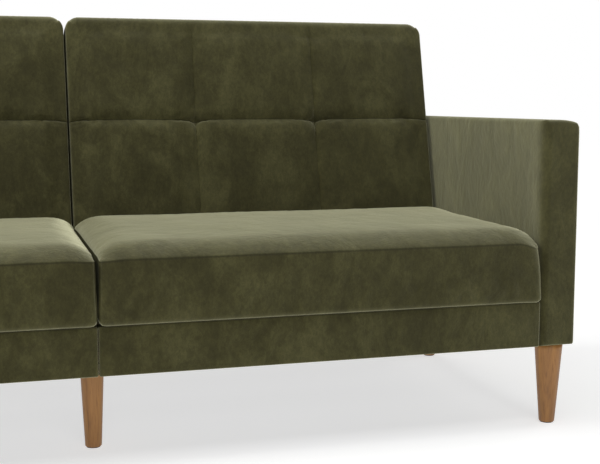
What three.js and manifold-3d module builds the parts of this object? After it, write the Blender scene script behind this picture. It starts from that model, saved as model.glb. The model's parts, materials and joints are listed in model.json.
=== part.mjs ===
// A split-back sofa bed with track arms. Two halves share one base, and each half's back
// tilts on its own pair of flat steel hinges, from upright down to level with the seat.
//
// Millimetres. +Z is up, the front faces -Y, and +X is on the right as seen from the front.
// The finished group stands on Z = 0, centred in X and Y under its whole outline. The sizes
// below are set out from the arms' front face (Y = 0) and the split between the halves (X = 0).

import * as THREE from 'three';
import { RoundedBoxGeometry } from 'three/addons/geometries/RoundedBoxGeometry.js';
import { mergeVertices } from 'three/addons/utils/BufferGeometryUtils.js';
import Module from 'manifold-3d';

const wasm = await Module();
wasm.setup();

// ---------------------------------------------------------------------------------------
// Driving dimensions
// ---------------------------------------------------------------------------------------

const GAP = 0.3;                 // between pieces that touch
const HALF_WIDTH = 980;          // from the split to an arm's outer face
const ARM_WIDTH = 82;
const ARM_TOP = 641;
const BASE_DEPTH = 735;          // front face to rear face of the arms and the base
const UNDERSIDE = 175;           // height of the base and the arms above the floor
const RAIL_TOP = 269;
const SEAT_TOP = 412;
const SEAT_PROUD = 13;           // how far the seat cushions stand out in front of the arms
const RAIL_PROUD = 3;

const BACK_LEAN = THREE.MathUtils.degToRad(13.5);
const HINGE = { y: 609, z: 322 };
const BACK_FRONT = SEAT_TOP - HINGE.z;   // a level back then lies flush with the seat
const BACK_THICKNESS = 125;
const BACK_TOP = 549;            // above the hinge pin, along the back
const BACK_BOTTOM = -25;
const BACK_TO_ARM = 8;
const SPLIT_CLEARANCE = 2;       // from the split to each back

const CUSHION_ROUNDING = 24;
const BACK_CORNER = 33;

const BOARD = 22;                // thickness of the base's boards
const RAIL_PADDING = 5;
const DECK_THICKNESS = 11.5;
const DUST_CLOTH = 1.5;

const ARM_PADDING = { side: 14, end: 18, top: 16 };
const ARM_EDGE = 12;

const LEG = { top: 29.8, centreTop: 24, foot: 16.4, inset: 47, outset: 34, chamfer: 1.5 };
const CENTRE_LEG_Y = 143;
const GLIDE = { radius: 14, height: 1.5 };
const LEG_PLATE = { thickness: 2.8, length: 56 };
const STUD = { radius: 4, length: 34 };

const PLATE = 3.5;               // thickness of a hinge plate
const PIN = { radius: 6, head: 9, headThickness: 3 };
const PLATE_HALF_WIDTH = 18;

const BOLT = { radius: 4, head: 7.5, headThickness: 5, reach: 48 };
const ROUND_SIDES = 32;
const HOLE_SIDES = 16;

// ---------------------------------------------------------------------------------------
// Values worked out from them
// ---------------------------------------------------------------------------------------

const ARM_INNER = HALF_WIDTH - ARM_WIDTH;
const BOARD_BOTTOM = UNDERSIDE + RAIL_PADDING;
const BOARD_TOP = RAIL_TOP - RAIL_PADDING;
const SIDE_RAIL_TOP = RAIL_TOP - DECK_THICKNESS - 2 * GAP;
const RAIL_INSIDE = BOARD - RAIL_PROUD + RAIL_PADDING + GAP;
const REAR_RAIL_INSIDE = BASE_DEPTH - RAIL_PADDING - GAP - BOARD;
const HALF_INNER = 0.7;                              // each half stops just short of the split
const SIDE_RAIL = [ARM_INNER - GAP - BOARD, ARM_INNER - GAP];
const CENTRE_RAIL = [HALF_INNER, HALF_INNER + BOARD];
const SEAT_REAR = HINGE.y - Math.hypot(BACK_FRONT, BACK_BOTTOM) - 7;
const BACK_REAR = BACK_THICKNESS - BACK_FRONT;
const BACK_EDGES = [SPLIT_CLEARANCE, ARM_INNER - BACK_TO_ARM];
const BACK_CENTRE = (BACK_EDGES[0] + BACK_EDGES[1]) / 2;
const BACK_WIDTH = BACK_EDGES[1] - BACK_EDGES[0];
const CUSHION_REAR = -PLATE_HALF_WIDTH - 2;          // behind it, the back's wooden frame
const FRAME_BOTTOM = PLATE_HALF_WIDTH + 8;           // leaves room for the seat plates to turn
const COVER_WALL = 6;
const FRAME_TOP = BACK_TOP - COVER_WALL - 4;         // clears the cover's round corners
const LEG_X = HALF_WIDTH - LEG.outset;
const BOLT_HEIGHT = 222;
const BOLT_PLACES = { front: 90, rear: 480 };

// ---------------------------------------------------------------------------------------
// Materials
// ---------------------------------------------------------------------------------------

const finish = (color, roughness, metalness = 0) =>
  () => new THREE.MeshStandardMaterial({ color, roughness, metalness });

const velvet = finish(0x5a5940, 0.9);
const oiledBeech = finish(0x9a7548, 0.5);
const timber = finish(0xc9ab7c, 0.75);
const plywood = finish(0xbf9c6b, 0.8);
const zincPlate = finish(0x8f9193, 0.4, 0.9);
const dustCloth = finish(0x1d1d1d, 0.95);
const nylon = finish(0x2b2a28, 0.6);

// ---------------------------------------------------------------------------------------
// Small tools
// ---------------------------------------------------------------------------------------

const SIDES = { left: -1, right: 1 };

function part(name, material, geometry, position = [0, 0, 0]) {
  const mesh = new THREE.Mesh(geometry, material());
  mesh.name = name;
  mesh.position.set(...position);
  return mesh;
}

/** A board filling [x0, x1] x [y0, y1] x [z0, z1]; x is measured outwards on its side. */
function board(name, material, side, [x0, x1], [y0, y1], [z0, z1]) {
  const geometry = new THREE.BoxGeometry(x1 - x0, y1 - y0, z1 - z0);
  return part(name, material, geometry, [side * (x0 + x1) / 2, (y0 + y1) / 2, (z0 + z1) / 2]);
}

function toSolid(geometry) {
  const bare = geometry.clone();
  bare.deleteAttribute('normal');
  bare.deleteAttribute('uv');
  const welded = mergeVertices(bare, 1e-4);
  return new wasm.Manifold(new wasm.Mesh({
    numProp: 3,
    vertProperties: new Float32Array(welded.attributes.position.array),
    triVerts: new Uint32Array(welded.index.array),
  }));
}

function toGeometry(solid) {
  const mesh = solid.getMesh();
  const geometry = new THREE.BufferGeometry();
  geometry.setAttribute('position', new THREE.BufferAttribute(mesh.vertProperties, 3));
  geometry.setIndex(new THREE.BufferAttribute(mesh.triVerts, 1));
  geometry.computeVertexNormals();
  return geometry;
}

const joined = (body, other) => toGeometry(toSolid(body).add(toSolid(other)));

function cutAway(body, ...tools) {
  const left = tools.reduce((solid, tool) => solid.subtract(toSolid(tool)), toSolid(body));
  return toGeometry(left);
}

function boxBetween([x0, x1], [y0, y1], [z0, z1]) {
  const box = new THREE.BoxGeometry(x1 - x0, y1 - y0, z1 - z0);
  return box.translate((x0 + x1) / 2, (y0 + y1) / 2, (z0 + z1) / 2);
}

/** Drills along X through a mesh, about a point given in the mesh's parent's frame. */
function drillAcross(mesh, radius, length, [x, y, z]) {
  const hole = new THREE.CylinderGeometry(radius, radius, length, HOLE_SIDES);
  hole.rotateZ(Math.PI / 2);
  hole.translate(x - mesh.position.x, y - mesh.position.y, z - mesh.position.z);
  mesh.geometry = cutAway(mesh.geometry, hole);
}

const X_AXIS = new THREE.Vector3(1, 0, 0);
const Y_AXIS = new THREE.Vector3(0, 1, 0);
const Z_AXIS = new THREE.Vector3(0, 0, 1);

/** Extrudes an outline drawn in (y, z) to a width along X, centred on X = 0. */
function extrudeAcross(outline, width) {
  const geometry = new THREE.ExtrudeGeometry(outline, { depth: width, bevelEnabled: false, curveSegments: 10 });
  geometry.translate(0, 0, -width / 2);
  return geometry.applyMatrix4(new THREE.Matrix4().makeBasis(Y_AXIS, Z_AXIS, X_AXIS));
}

/** Extrudes an outline drawn in (x, z) from y0 back to y1, with rounded rims. */
function extrudeBack(outline, y0, y1, rim) {
  const geometry = new THREE.ExtrudeGeometry(outline, {
    depth: y1 - y0 - 2 * rim,
    bevelEnabled: rim > 0,
    bevelThickness: rim,
    bevelSize: rim,
    bevelOffset: -rim,
    bevelSegments: 2,
    curveSegments: 5,
  });
  geometry.applyMatrix4(new THREE.Matrix4().makeBasis(X_AXIS, Z_AXIS, Y_AXIS.clone().negate()));
  return geometry.translate(0, y1 - rim, 0);
}

/** A board's outline in (x, z), centred on x = 0, with round top corners. */
function roundTopped(width, bottom, top, corner) {
  const half = width / 2;
  const outline = new THREE.Shape();
  outline.moveTo(-half, bottom);
  outline.lineTo(half, bottom);
  outline.lineTo(half, top - corner);
  outline.absarc(half - corner, top - corner, corner, 0, Math.PI / 2, false);
  outline.lineTo(-half + corner, top);
  outline.absarc(-half + corner, top - corner, corner, Math.PI / 2, Math.PI, false);
  outline.closePath();
  return outline;
}

// ---------------------------------------------------------------------------------------
// Base: rails, deck, covers
// ---------------------------------------------------------------------------------------

function seatCushion(sideName, side) {
  const front = -SEAT_PROUD;
  const width = ARM_INNER - 2 - 2;
  const bottom = RAIL_TOP + GAP;
  const geometry = new RoundedBoxGeometry(
    width, SEAT_REAR - front, SEAT_TOP - bottom, 3, CUSHION_ROUNDING);
  return part(`${sideName}_seat_cushion`, velvet, geometry,
    [side * ARM_INNER / 2, (front + SEAT_REAR) / 2, (bottom + SEAT_TOP) / 2]);
}

/** A plywood deck with slots that let the cushion breathe. */
function seatDeck(sideName, side) {
  const x = [HALF_INNER, ARM_INNER - GAP];
  const y = [RAIL_INSIDE + GAP, SEAT_REAR - 8];
  const width = x[1] - x[0];
  const depth = y[1] - y[0];
  const slots = 5;
  const slotWidth = 38;
  const slotEnd = width / 2 - 60;
  const deck = boxBetween([-width / 2, width / 2], [0, depth], [0, DECK_THICKNESS]);
  const openings = [];
  for (let i = 0; i < slots; i += 1) {
    const middle = (i + 0.5) * depth / slots;
    openings.push(boxBetween(
      [-slotEnd, slotEnd], [middle - slotWidth / 2, middle + slotWidth / 2], [-1, DECK_THICKNESS + 1]));
  }
  return part(`${sideName}_seat_deck`, plywood, cutAway(deck, ...openings),
    [side * (x[0] + x[1]) / 2, y[0], RAIL_TOP - GAP - DECK_THICKNESS]);
}

/** The front or rear board of one half. */
function crossBoard(name, side, y0) {
  return board(name, timber, side,
    [HALF_INNER, ARM_INNER - GAP], [y0, y0 + BOARD], [BOARD_BOTTOM + GAP, BOARD_TOP - GAP]);
}

/** Padded velvet folded round a cross board: a channel that opens away from its face. */
function railCover(name, side, face, inward) {
  const depth = RAIL_PADDING + GAP + BOARD;
  const outline = new THREE.Shape();
  outline.moveTo(0, UNDERSIDE);
  outline.lineTo(depth, UNDERSIDE);
  outline.lineTo(depth, BOARD_BOTTOM);
  outline.lineTo(RAIL_PADDING, BOARD_BOTTOM);
  outline.lineTo(RAIL_PADDING, BOARD_TOP);
  outline.lineTo(depth, BOARD_TOP);
  outline.lineTo(depth, RAIL_TOP);
  outline.lineTo(0, RAIL_TOP);
  outline.closePath();
  const width = ARM_INNER - GAP - HALF_INNER;
  const mesh = part(name, velvet, extrudeAcross(outline, width),
    [side * (HALF_INNER + width / 2), face, 0]);
  if (inward < 0) mesh.rotation.z = Math.PI;
  return mesh;
}

function sideRail(sideName, side) {
  const rail = board(`${sideName}_side_rail`, timber, side,
    SIDE_RAIL, [RAIL_INSIDE + GAP, REAR_RAIL_INSIDE - GAP], [BOARD_BOTTOM, SIDE_RAIL_TOP]);
  for (const y of Object.values(BOLT_PLACES)) {
    drillAcross(rail, BOLT.radius + GAP, 2 * BOARD, [rail.position.x, y, BOLT_HEIGHT]);
  }
  return rail;
}

function centreRail(sideName, side) {
  return board(`${sideName}_centre_rail`, timber, side,
    CENTRE_RAIL, [RAIL_INSIDE + GAP, REAR_RAIL_INSIDE - GAP], [BOARD_BOTTOM, SIDE_RAIL_TOP]);
}

function dustCover(sideName, side) {
  const top = BOARD_BOTTOM - GAP;
  return board(`${sideName}_dust_cover`, dustCloth, side,
    [HALF_INNER, ARM_INNER - GAP], [RAIL_INSIDE + GAP, REAR_RAIL_INSIDE - GAP], [top - DUST_CLOTH, top]);
}

// ---------------------------------------------------------------------------------------
// Arms
// ---------------------------------------------------------------------------------------

function armCore(sideName, side) {
  const core = board(`${sideName}_arm_core`, timber, side,
    [ARM_INNER + ARM_PADDING.side + GAP, HALF_WIDTH - ARM_PADDING.side - GAP],
    [ARM_PADDING.end + GAP, BASE_DEPTH - ARM_PADDING.end - GAP],
    [UNDERSIDE + LEG_PLATE.thickness + 2 * GAP, ARM_TOP - ARM_PADDING.top - GAP]);
  for (const y of Object.values(BOLT_PLACES)) {
    drillAcross(core, BOLT.radius + GAP, 2 * (BOLT.reach + 2), [side * ARM_INNER, y, BOLT_HEIGHT]);
  }
  return core;
}

/** Foam and velvet round the core, open underneath. */
function armCover(sideName, side) {
  const height = ARM_TOP - UNDERSIDE;
  const outer = new RoundedBoxGeometry(ARM_WIDTH, BASE_DEPTH, height, 2, ARM_EDGE);
  const inside = boxBetween(
    [-ARM_WIDTH / 2 + ARM_PADDING.side, ARM_WIDTH / 2 - ARM_PADDING.side],
    [-BASE_DEPTH / 2 + ARM_PADDING.end, BASE_DEPTH / 2 - ARM_PADDING.end],
    [-height, height / 2 - ARM_PADDING.top]);
  const cover = part(`${sideName}_arm_cover`, velvet, cutAway(outer, inside),
    [side * (ARM_INNER + HALF_WIDTH) / 2, BASE_DEPTH / 2, UNDERSIDE + height / 2]);
  for (const y of Object.values(BOLT_PLACES)) {
    drillAcross(cover, BOLT.radius + GAP, 2 * (ARM_PADDING.side + 1), [side * ARM_INNER, y, BOLT_HEIGHT]);
  }
  return cover;
}

/** A hex-headed bolt from inside a side rail into its arm's core. */
function armBolt(sideName, side, place) {
  const tip = ARM_INNER + BOLT.reach;
  const underHead = SIDE_RAIL[0] - GAP;
  const shank = tip - underHead;
  const shaft = new THREE.CylinderGeometry(BOLT.radius, BOLT.radius, shank, HOLE_SIDES);
  const head = new THREE.CylinderGeometry(BOLT.head, BOLT.head, BOLT.headThickness, 6);
  head.translate(0, -(shank + BOLT.headThickness) / 2 + 0.01, 0);
  const geometry = joined(shaft, head).rotateZ(-side * Math.PI / 2);
  return part(`${sideName}_${place}_arm_bolt`, zincPlate, geometry,
    [side * (underHead + tip) / 2, BOLT_PLACES[place], BOLT_HEIGHT]);
}

// ---------------------------------------------------------------------------------------
// Legs
// ---------------------------------------------------------------------------------------

/** A tapered round leg with a blind hole in its top for the plate's stud. */
function leg(name, x, y, topRadius) {
  const bottom = GLIDE.height + GAP;
  const top = UNDERSIDE - GAP;
  const holeRadius = STUD.radius + GAP;
  const holeBottom = UNDERSIDE - STUD.length - 1;
  const profile = [
    [0, bottom],
    [LEG.foot - LEG.chamfer, bottom],
    [LEG.foot, bottom + LEG.chamfer],
    [topRadius, top],
    [holeRadius, top],
    [holeRadius, holeBottom],
    [0, holeBottom],
  ].map(([radius, height]) => new THREE.Vector2(radius, height));
  const geometry = new THREE.LatheGeometry(profile, ROUND_SIDES).rotateX(Math.PI / 2);
  return part(name, oiledBeech, geometry, [x, y, 0]);
}

/** A steel mounting plate with a stud welded on below it. */
function legPlate(name, x, y, [plateX0, plateX1]) {
  const z0 = UNDERSIDE;
  const z1 = UNDERSIDE + LEG_PLATE.thickness;
  const plate = boxBetween(
    [plateX0 - x, plateX1 - x], [-LEG_PLATE.length / 2, LEG_PLATE.length / 2], [z0, z1]);
  const stud = new THREE.CylinderGeometry(STUD.radius, STUD.radius, STUD.length + 1, HOLE_SIDES);
  stud.rotateX(Math.PI / 2);
  stud.translate(0, 0, UNDERSIDE - STUD.length / 2 + 0.5);
  return part(name, zincPlate, joined(plate, stud), [x, y, 0]);
}

function glide(name, x, y) {
  const geometry = new THREE.CylinderGeometry(GLIDE.radius, GLIDE.radius, GLIDE.height, ROUND_SIDES);
  return part(name, nylon, geometry.rotateX(Math.PI / 2), [x, y, GLIDE.height / 2]);
}

function legSet(place, x, y, topRadius, plateEdges) {
  return [
    leg(`${place}_leg`, x, y, topRadius),
    legPlate(`${place}_leg_plate`, x, y, plateEdges),
    glide(`${place}_glide`, x, y),
  ];
}

function armLegSet(place, side, y) {
  const near = ARM_INNER + ARM_PADDING.side + GAP;
  const far = HALF_WIDTH - ARM_PADDING.side - GAP;
  const edges = side > 0 ? [near, far] : [-far, -near];
  return legSet(place, side * LEG_X, y, LEG.top, edges);
}

// ---------------------------------------------------------------------------------------
// Backs. Each is drawn round its hinge pin: y runs from its front to its rear, z up it.
// ---------------------------------------------------------------------------------------

function backCushion(sideName) {
  const outline = roundTopped(BACK_WIDTH, BACK_BOTTOM, BACK_TOP, BACK_CORNER);
  const geometry = extrudeBack(outline, -BACK_FRONT, CUSHION_REAR, 10);
  return part(`${sideName}_back_cushion`, velvet, geometry);
}

/** Padded velvet over the sides, top and rear of the back's frame, open in front and below. */
function backRearCover(sideName) {
  const rim = 8;
  const front = CUSHION_REAR + GAP;
  const outer = extrudeBack(
    roundTopped(BACK_WIDTH, FRAME_BOTTOM - rim, BACK_TOP, BACK_CORNER), front - rim, BACK_REAR, rim);
  const inner = extrudeBack(
    roundTopped(BACK_WIDTH - 2 * COVER_WALL, -BACK_TOP, BACK_TOP - COVER_WALL, BACK_CORNER - COVER_WALL),
    front - 2 * rim, BACK_REAR - COVER_WALL, 0);
  const ahead = boxBetween([-BACK_WIDTH, BACK_WIDTH], [front - 2 * rim, front], [-BACK_TOP, 2 * BACK_TOP]);
  const below = boxBetween([-BACK_WIDTH, BACK_WIDTH], [-BACK_TOP, BACK_TOP], [-BACK_TOP, FRAME_BOTTOM]);
  return part(`${sideName}_back_rear_cover`, velvet, cutAway(outer, inner, ahead, below));
}

/** Where the pieces of a half's two hinges lie across it, outwards from the split. */
const HINGES = {
  inner: { seatPlate: CENTRE_RAIL[1] + GAP, inward: 1 },
  outer: { seatPlate: SIDE_RAIL[0] - GAP, inward: -1 },
};
for (const hinge of Object.values(HINGES)) {
  hinge.backPlate = hinge.seatPlate + hinge.inward * (PLATE + GAP);
  hinge.stile = hinge.backPlate + hinge.inward * (PLATE + GAP);
}

/** A slatted timber frame between the back plates. */
function backFrame(sideName, side) {
  const x0 = HINGES.inner.stile;
  const x1 = HINGES.outer.stile;
  const y = [CUSHION_REAR + GAP, BACK_REAR - COVER_WALL - GAP];
  const z = [FRAME_BOTTOM, FRAME_TOP];
  const width = x1 - x0;
  const stile = 40;
  const rail = 50;
  const bays = 4;
  const bay = (width - (bays + 1) * stile) / bays;
  const slab = boxBetween([-width / 2, width / 2], y, z);
  const openings = [];
  for (let i = 0; i < bays; i += 1) {
    const left = -width / 2 + stile + i * (bay + stile);
    openings.push(boxBetween([left, left + bay], [y[0] - 1, y[1] + 1], [z[0] + rail, z[1] - rail]));
  }
  return part(`${sideName}_back_frame`, timber, cutAway(slab, ...openings),
    [side * ((x0 + x1) / 2 - BACK_CENTRE), 0, 0]);
}

function pinHole() {
  const hole = new THREE.Path();
  hole.absarc(0, 0, PIN.radius + GAP, 0, 2 * Math.PI, false);
  return hole;
}

/** The moving half of a hinge, a strap screwed to the side of the back's frame. */
function backPlate(sideName, side, place) {
  const length = 150;
  const outline = new THREE.Shape();
  outline.moveTo(PLATE_HALF_WIDTH, length);
  outline.lineTo(-PLATE_HALF_WIDTH, length);
  outline.lineTo(-PLATE_HALF_WIDTH, 0);
  outline.absarc(0, 0, PLATE_HALF_WIDTH, Math.PI, 2 * Math.PI, false);
  outline.closePath();
  outline.holes.push(pinHole());
  const hinge = HINGES[place];
  const x = hinge.backPlate + hinge.inward * PLATE / 2 - BACK_CENTRE;
  return part(`${sideName}_${place}_back_plate`, zincPlate, extrudeAcross(outline, PLATE), [side * x, 0, 0]);
}

function back(sideName, side) {
  const group = new THREE.Group();
  group.position.set(side * BACK_CENTRE, HINGE.y, HINGE.z);
  group.rotation.x = -BACK_LEAN;
  group.add(
    backCushion(sideName),
    backFrame(sideName, side),
    backRearCover(sideName),
    backPlate(sideName, side, 'inner'),
    backPlate(sideName, side, 'outer'),
  );
  return group;
}

// ---------------------------------------------------------------------------------------
// The fixed halves of the hinges
// ---------------------------------------------------------------------------------------

/** The fixed half of a hinge, a strap that widens into a foot on the inside of a rail. */
function seatPlate(sideName, side, place) {
  const foot = { halfWidth: 35, bottom: BOARD_BOTTOM + 8 - HINGE.z, top: SIDE_RAIL_TOP - 8 - HINGE.z };
  const neck = foot.top + 30;
  const outline = new THREE.Shape();
  outline.moveTo(-foot.halfWidth, foot.bottom);
  outline.lineTo(foot.halfWidth, foot.bottom);
  outline.lineTo(foot.halfWidth, foot.top);
  outline.lineTo(PLATE_HALF_WIDTH, neck);
  outline.lineTo(PLATE_HALF_WIDTH, 0);
  outline.absarc(0, 0, PLATE_HALF_WIDTH, 0, Math.PI, false);
  outline.lineTo(-PLATE_HALF_WIDTH, neck);
  outline.lineTo(-foot.halfWidth, foot.top);
  outline.closePath();
  outline.holes.push(pinHole());
  const hinge = HINGES[place];
  const x = hinge.seatPlate + hinge.inward * PLATE / 2;
  return part(`${sideName}_${place}_seat_plate`, zincPlate, extrudeAcross(outline, PLATE),
    [side * x, HINGE.y, HINGE.z]);
}

/** A riveted pin through both plates of a hinge. */
function hingePin(sideName, side, place) {
  const hinge = HINGES[place];
  const middle = (hinge.seatPlate + hinge.stile - hinge.inward * GAP) / 2;
  const end = PLATE + 1.5 * GAP + PIN.headThickness;
  const underHead = end - PIN.headThickness;
  const profile = [
    [0, -end],
    [PIN.head, -end],
    [PIN.head, -underHead],
    [PIN.radius, -underHead],
    [PIN.radius, underHead],
    [PIN.head, underHead],
    [PIN.head, end],
    [0, end],
  ].map(([radius, height]) => new THREE.Vector2(radius, height));
  const geometry = new THREE.LatheGeometry(profile, HOLE_SIDES).rotateZ(Math.PI / 2);
  return part(`${sideName}_${place}_hinge_pin`, zincPlate, geometry, [side * middle, HINGE.y, HINGE.z]);
}

// ---------------------------------------------------------------------------------------
// Assembly
// ---------------------------------------------------------------------------------------

const sofa = new THREE.Group();

for (const [sideName, side] of Object.entries(SIDES)) {
  sofa.add(
    seatCushion(sideName, side),
    seatDeck(sideName, side),
    crossBoard(`${sideName}_front_rail`, side, RAIL_PADDING - RAIL_PROUD + GAP),
    railCover(`${sideName}_front_rail_cover`, side, -RAIL_PROUD, 1),
    crossBoard(`${sideName}_rear_rail`, side, REAR_RAIL_INSIDE),
    railCover(`${sideName}_rear_rail_cover`, side, BASE_DEPTH, -1),
    sideRail(sideName, side),
    centreRail(sideName, side),
    dustCover(sideName, side),
    armCore(sideName, side),
    armCover(sideName, side),
    armBolt(sideName, side, 'front'),
    armBolt(sideName, side, 'rear'),
    back(sideName, side),
  );
  for (const place of Object.keys(HINGES)) {
    sofa.add(seatPlate(sideName, side, place), hingePin(sideName, side, place));
  }
  sofa.add(
    ...armLegSet(`${sideName}_front`, side, LEG.inset),
    ...armLegSet(`${sideName}_rear`, side, BASE_DEPTH - LEG.inset),
  );
}
sofa.add(...legSet('centre', 0, CENTRE_LEG_Y, LEG.centreTop, [-BOARD, BOARD]));

const model = new THREE.Group();
model.add(sofa);
sofa.updateMatrixWorld(true);
const outlineCentre = new THREE.Box3().setFromObject(sofa, true).getCenter(new THREE.Vector3());
sofa.position.y = -outlineCentre.y;

export default model;
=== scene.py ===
"""Looks for the split-back velvet sofa bed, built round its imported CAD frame.

Every soft piece is a closed form made on a lattice of quads: a slab with a rounded outline, a
crowned face with its seams sewn in, and slightly full sides. Metres, +Z up, front towards -Y.
"""

import json
import math

import bmesh
import bpy
import numpy as np
from mathutils import Matrix, Vector


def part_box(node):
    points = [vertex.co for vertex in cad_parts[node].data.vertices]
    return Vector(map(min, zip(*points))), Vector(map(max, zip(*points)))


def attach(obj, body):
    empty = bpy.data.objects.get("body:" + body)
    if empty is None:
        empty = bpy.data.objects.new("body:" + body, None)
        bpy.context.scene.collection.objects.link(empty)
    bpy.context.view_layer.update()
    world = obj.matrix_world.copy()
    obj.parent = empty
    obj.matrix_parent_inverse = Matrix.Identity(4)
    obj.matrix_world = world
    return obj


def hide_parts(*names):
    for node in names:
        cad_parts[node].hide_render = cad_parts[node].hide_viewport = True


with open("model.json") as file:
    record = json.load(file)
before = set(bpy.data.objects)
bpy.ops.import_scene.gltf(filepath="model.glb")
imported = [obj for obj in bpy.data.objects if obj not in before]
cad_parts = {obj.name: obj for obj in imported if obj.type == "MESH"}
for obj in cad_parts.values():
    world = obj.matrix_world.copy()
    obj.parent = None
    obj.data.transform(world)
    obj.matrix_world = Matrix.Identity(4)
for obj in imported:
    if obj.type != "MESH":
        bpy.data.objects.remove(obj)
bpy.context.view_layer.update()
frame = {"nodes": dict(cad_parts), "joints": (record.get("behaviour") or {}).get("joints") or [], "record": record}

MM = 0.001
SIDES = {"left": -1, "right": 1}

# ---------------------------------------------------------------------------------------
# Sizes of the soft pieces, mm, and shares. Outlines come from the frame
# ---------------------------------------------------------------------------------------

SEAT_SEAM_DROP = 18.5         # the front seam, below the top of the seat's CAD box
SEAT_ROLL = {                 # how far the top's rolls reach in, and how flat each one is
    "front": (58.0, 0.88),
    "rear": (30.0, 0.5),
    "split": (58.0, 0.5),
    "arm": (48.0, 0.6),
}
SEAT_RISE = 23.4              # from the seam to the top of the roll
SEAT_CROWN = 8.0              # how much fuller the cushion is in its middle
SEAT_RAMP = 2.5               # how much fuller the cushion is towards the back
SEAT_CORNER = {"split": 8.0, "arm": 24.0}     # radii of the corners seen from above, at the seam
SEAT_LOW_CORNER = 7.0         # and at the bottom
SEAT_DROP = {"split": 4.0, "arm": 15.0}       # how far the front's upper corners fall
SEAT_DROP_REACH = 55.0
SEAT_FULLNESS = 1.2           # how far the boxing swells
SEAT_SLACK = 3.0              # what the simulation may add
SEAT_BOTTOM_RIM = 11.0
SEAT_SEAM_SHADE_WIDTH = 2.5         # of its painted shade line, the darkened crease under the seam
SEAT_SEAM_HELD = 0.8          # how firmly the seam holds against the simulation
SEAT_TOUCH = 1.6              # how far it may press past its CAD box, beside and behind
SEAT_UNTOUCHED = 1000.0       # and in front and above, where nothing limits it
SEAT_UNDERSIDE_SHADE_INSET = 6.0      # its underside is painted shade, with the sheen-less velvet, further in than this

BACK_CORNER_TOP = 33.0
BACK_CORNER_BOTTOM = 12.0
BACK_REAR_RIM = 6.0
BACK_RIM = {"side": (5.0, 5.0), "bottom": (8.0, 8.0), "top": (17.0, 13.0)}
BACK_SLACK = 2.5
BACK_HELD = (0.9, 60.0)       # how firmly its outline holds, fading out this far in
COLUMNS = 3
SEAM_HEIGHT = 302.0           # the back's cross seam, up the back from the hinge pin
SEAM_ARCH = 6.0               # how far the cross seam bows up between its pinches
CROSS_SEAM = (4.5, 15.0)      # how deep it is, and how far it reaches to each side
COLUMN_SEAM = (0.8, 22.0)     # and the same for a seam between columns
COLUMN_GATHER = (3.5, 50.0)   # how much deeper that is at the cross seam, and for how far
PINCH = (8.0, 20.0, 16.0)     # depth, width and height of the pinch where two seams cross
BISCUIT = 3.0                 # how full each half of a column is
RELIEF_INSET = 55.0           # how far in from the outline the relief is whole

SHELL_RIM = 9.0               # the padded rear cover's rolled edge
SHELL_INNER_RIM = 3.0
SHELL_CORNER_BOTTOM = 4.0
SHELL_FULLNESS = 1.5          # how far it stands out in its middle

PAINTED_SEAM_SHADE = {"boxing": 0.6, "cross": 0.8, "column": 0.22}   # painted shade: how dark each seam's crease is painted

ARM_RIM = {"inner": 19.0, "outer": 7.0, "foot": 5.0, "top": 9.0}
ARM_REAR_RIM = 10.0
ARM_CORNER = {"outer": (8.0, 15.0), "inner": (10.0, 8.0)}     # at the top, across and up
ARM_FOOT_CORNER = 5.0
ARM_SHOULDER = 7.0            # how far the arm's top falls away to its outer edge
ARM_SHOULDER_START = -0.07    # where that starts, as a share of the half width from the middle
ARM_SHOULDER_LOW = 0.8        # and from where it acts, as a share of the half height

RAIL_RIM = 4.0
RAIL_INNER_RIM = 1.0
RAIL_CORNER = 3.0


# ---------------------------------------------------------------------------------------
# Materials
# ---------------------------------------------------------------------------------------

def new_material(name):
    """A material with its Principled shader: (material, nodes, links, shader)."""
    material = bpy.data.materials.new(name)
    material.use_nodes = True
    tree = material.node_tree
    shader = tree.nodes["Principled BSDF"]
    return material, tree.nodes, tree.links, shader


def mapped(nodes, links, scale=(1, 1, 1)):
    """Object coordinates in metres, stretched."""
    coordinates = nodes.new("ShaderNodeTexCoord")
    mapping = nodes.new("ShaderNodeMapping")
    mapping.inputs["Scale"].default_value = scale
    links.new(coordinates.outputs["Object"], mapping.inputs["Vector"])
    return mapping.outputs["Vector"]


def noise(nodes, links, vector, scale, detail=3.0, roughness=0.5, distortion=0.0):
    """A noise texture's 0 to 1 output, scale features to the metre."""
    node = nodes.new("ShaderNodeTexNoise")
    node.inputs["Scale"].default_value = scale
    node.inputs["Detail"].default_value = detail
    node.inputs["Roughness"].default_value = roughness
    node.inputs["Distortion"].default_value = distortion
    links.new(vector, node.inputs["Vector"])
    return node.outputs["Fac"]


def ramp(nodes, links, factor, stops):
    """A colour ramp through stops of (position, linear colour)."""
    node = nodes.new("ShaderNodeValToRGB")
    elements = node.color_ramp.elements
    while len(elements) < len(stops):
        elements.new(0.5)
    for element, (position, colour) in zip(elements, stops):
        element.position = position
        element.color = (*colour, 1.0)
    links.new(factor, node.inputs["Fac"])
    return node.outputs["Color"]


def mix_colour(nodes, links, factor, a, b, mode="MIX"):
    """Mixes two colours, each a socket or a fixed colour."""
    node = nodes.new("ShaderNodeMix")
    node.data_type = "RGBA"
    node.blend_type = mode
    for socket, value in ((node.inputs[0], factor), (node.inputs[6], a), (node.inputs[7], b)):
        if isinstance(value, bpy.types.NodeSocket):
            links.new(value, socket)
        else:
            socket.default_value = value if isinstance(value, float) else (*value, 1.0)
    return node.outputs[2]


def math_node(nodes, links, operation, *values):
    """A math node's output from its inputs, each a socket or a number."""
    node = nodes.new("ShaderNodeMath")
    node.operation = operation
    for socket, value in zip(node.inputs, values):
        if isinstance(value, bpy.types.NodeSocket):
            links.new(value, socket)
        else:
            socket.default_value = value
    return node.outputs["Value"]


def graded(nodes, links, tone, factor, *stops):
    """A tone multiplied by greys, as the factor goes through stops of (position, grey)."""
    greys = ramp(nodes, links, factor, [(position, (grey, grey, grey)) for position, grey in stops])
    return mix_colour(nodes, links, 1.0, tone, greys, "MULTIPLY")


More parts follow.
